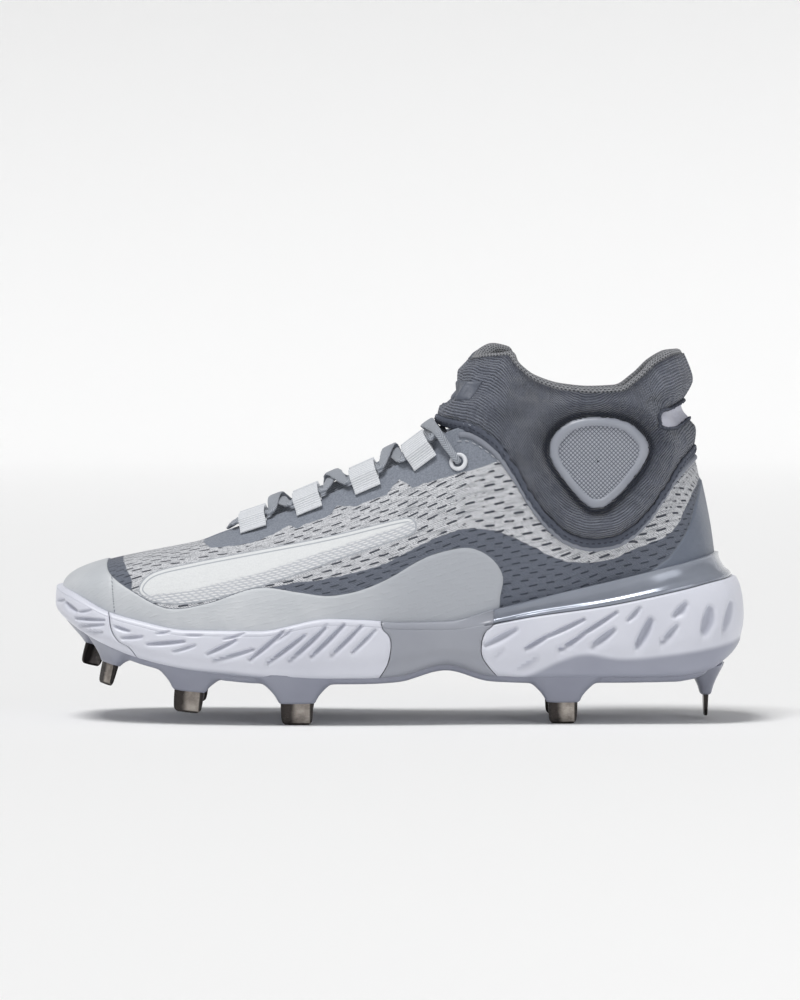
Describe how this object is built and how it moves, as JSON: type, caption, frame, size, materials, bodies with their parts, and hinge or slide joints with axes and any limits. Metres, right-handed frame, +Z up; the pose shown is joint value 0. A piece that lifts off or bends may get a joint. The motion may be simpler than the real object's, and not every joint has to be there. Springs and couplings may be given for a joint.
{
  "type": "baseball cleat",
  "caption": "Mid-cut left baseball shoe with a knit upper, padded ankle cuff, lace loops, carved two-part sole and steel blade spikes, standing empty",
  "frame": {"origin": "middle of the footprint, on the floor under the spikes", "axes": "-X points to the toe, +X to the heel, -Y to the outer side of the foot, +Y to the inner side, +Z up"},
  "size_m": [0.3, 0.1088, 0.1616],
  "materials": {
    "knit": "grey engineered knit, light and dark fields, matte",
    "film": "pale grey fused film, satin",
    "counter": "dark blue-grey film, satin",
    "cuff_padding": "dark grey padded knit with fine ribs",
    "binding": "mesh binding tape",
    "disc": "moulded ankle pad with a pale rim",
    "patch": "light lavender-grey fabric",
    "tongue": "grey knit",
    "insole": "dark lining cloth",
    "foam": "off-white moulded foam",
    "saddle": "mid grey moulded plastic",
    "clip": "silver-grey, glossy",
    "plate": "grey moulded outsole plate",
    "spike": "stamped steel",
    "webbing": "white ribbed webbing",
    "eyelet": "white moulded ring",
    "lace": "flat grey woven lace"
  },
  "bodies": {
    "root": {"upper": "knit", "toe_overlay": "film", "heel_counter": "counter", "cuff": "cuff_padding", "cuff_binding": "binding", "ankle_disc_out": "disc", "ankle_disc_in": "disc", "heel_patch": "patch", "front_label": "patch", "tongue": "tongue", "insole": "insole", "toe_bumper": "foam", "forefoot_foam": "foam", "midfoot_saddle": "saddle", "heel_foam": "foam", "heel_clip": "clip", "outsole_plate": "plate", "spike_toe_out": "spike", "spike_toe_in": "spike", "spike_front_out": "spike", "spike_front_in": "spike", "spike_ball_out": "spike", "spike_ball_in": "spike", "spike_heel_out": "spike", "spike_heel_in": "spike", "spike_rear": "spike", "lace_loop_out_1": "webbing", "lace_loop_out_2": "webbing", "lace_loop_out_3": "webbing", "lace_loop_out_4": "webbing", "lace_loop_in_1": "webbing", "lace_loop_in_2": "webbing", "lace_loop_in_3": "webbing", "lace_loop_in_4": "webbing", "eyelet_out": "eyelet", "eyelet_in": "eyelet", "lace": "lace"}
  },
  "joints": []
}
